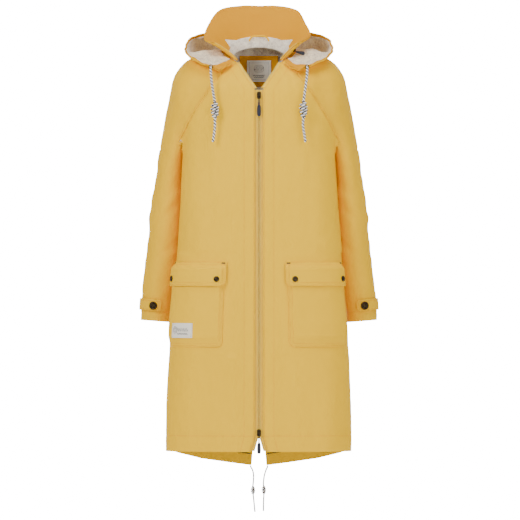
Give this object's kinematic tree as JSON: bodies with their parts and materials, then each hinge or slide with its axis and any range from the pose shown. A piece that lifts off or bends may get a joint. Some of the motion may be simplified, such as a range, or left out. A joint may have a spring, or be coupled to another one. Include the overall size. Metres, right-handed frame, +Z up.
{
  "type": "hooded raincoat",
  "caption": "Long lined raincoat with raglan sleeves, laid-back hood, stand collar, two-way zip, flapped patch pockets, cuff tabs and a split drawcord tail.",
  "frame": {"origin": "crown of the hang loop inside the back neck, where a hook carries the coat", "axes": "+Z up, the front faces -Y, +X to the viewer's right as the front is seen"},
  "size_m": [0.592, 0.34, 1.2518],
  "materials": {
    "shell_cloth": "matt waterproof woven",
    "sleeve_cloth": "matt waterproof woven",
    "facing_cloth": "matt woven",
    "body_pile": "curly pile",
    "hood_pile": "curly pile",
    "zip_tape": "woven tape and moulded rows",
    "old_brass": "dark, worn",
    "navy_rubber": "matt",
    "label_cloth": "satin woven",
    "cord": "two-colour twisted"
  },
  "bodies": {
    "coat": {"front_left_panel": "shell_cloth", "front_right_panel": "shell_cloth", "back_panel": "shell_cloth", "collar_outer": "shell_cloth", "hood_shell": "shell_cloth", "hang_loop": "shell_cloth", "left_pocket": "shell_cloth", "right_pocket": "shell_cloth", "left_sleeve": "sleeve_cloth", "right_sleeve": "sleeve_cloth", "collar_facing": "facing_cloth", "back_neck_patch": "facing_cloth", "wind_flap": "facing_cloth", "front_left_lining": "body_pile", "front_right_lining": "body_pile", "back_lining": "body_pile", "left_sleeve_lining": "body_pile", "right_sleeve_lining": "body_pile", "hood_lining": "hood_pile", "left_zip_tape": "zip_tape", "right_zip_tape": "zip_tape", "left_zip_row": "zip_tape", "right_zip_row": "zip_tape", "neck_label": "label_cloth", "left_pocket_label": "label_cloth", "hood_zip_slider": "old_brass", "left_hood_eyelet": "old_brass", "right_hood_eyelet": "old_brass", "left_cuff_stud": "old_brass", "right_cuff_stud": "old_brass", "left_inner_flap_snap_stud": "old_brass", "left_outer_flap_snap_stud": "old_brass", "right_inner_flap_snap_stud": "old_brass", "right_outer_flap_snap_stud": "old_brass", "left_hood_cord": "cord", "left_hood_cord_knot": "cord", "right_hood_cord": "cord", "right_hood_cord_knot": "cord", "left_hem_cord": "cord", "left_hem_cord_knot": "cord", "right_hem_cord": "cord", "right_hem_cord_knot": "cord"},
    "upper_slider": {"upper_slider": "old_brass"},
    "upper_pull": {"upper_pull_ring": "old_brass", "upper_pull_grip": "navy_rubber"},
    "lower_slider": {"lower_slider": "old_brass"},
    "lower_pull": {"lower_pull_ring": "old_brass", "lower_pull_grip": "navy_rubber"},
    "hood_zip_pull": {"hood_zip_puller": "navy_rubber"},
    "left_flap": {"left_pocket_flap": "shell_cloth", "left_inner_flap_snap_cap": "old_brass", "left_outer_flap_snap_cap": "old_brass"},
    "left_tab": {"left_cuff_tab": "sleeve_cloth", "left_cuff_button": "old_brass"},
    "right_flap": {"right_pocket_flap": "shell_cloth", "right_inner_flap_snap_cap": "old_brass", "right_outer_flap_snap_cap": "old_brass"},
    "right_tab": {"right_cuff_tab": "sleeve_cloth", "right_cuff_button": "old_brass"}
  },
  "joints": [
    {"name": "upper_slide", "type": "slide", "parent": "coat", "child": "upper_slider", "axis": [0, -0.032, -0.9995], "range_m": [0, 0.42]},
    {"name": "lower_slide", "type": "slide", "parent": "coat", "child": "lower_slider", "axis": [0, 0.032, 0.9995], "range_m": [0, 0.335]},
    {"name": "upper_pull_swing", "type": "hinge", "parent": "upper_slider", "child": "upper_pull", "pos_m": [0, -0.18458, -0.14996], "axis": [-1, 0, 0], "range_deg": [0, 160]},
    {"name": "lower_pull_swing", "type": "hinge", "parent": "lower_slider", "child": "lower_pull", "pos_m": [0, -0.21104, -0.97696], "axis": [-1, 0, 0], "range_deg": [0, 160]},
    {"name": "left_flap_lift", "type": "hinge", "parent": "coat", "child": "left_flap", "pos_m": [-0.15984, -0.16998, -0.56], "axis": [-0.8599, 0.5104, 0], "range_deg": [0, 150]},
    {"name": "right_flap_lift", "type": "hinge", "parent": "coat", "child": "right_flap", "pos_m": [0.14596, -0.17718, -0.56], "axis": [-0.9106, -0.4133, 0], "range_deg": [0, 150]},
    {"name": "left_tab_open", "type": "hinge", "parent": "coat", "child": "left_tab", "pos_m": [-0.28681, 0.01988, -0.65972], "axis": [-0.0818, 0, -0.9967], "range_deg": [0, 100]},
    {"name": "right_tab_open", "type": "hinge", "parent": "coat", "child": "right_tab", "pos_m": [0.28681, 0.01988, -0.65972], "axis": [-0.0818, 0, 0.9967], "range_deg": [0, 100]},
    {"name": "hood_pull_swing", "type": "hinge", "parent": "coat", "child": "hood_zip_pull", "pos_m": [0.08984, -0.10871, -0.04107], "axis": [0, -1, 0], "range_deg": [0, 25]}
  ]
}
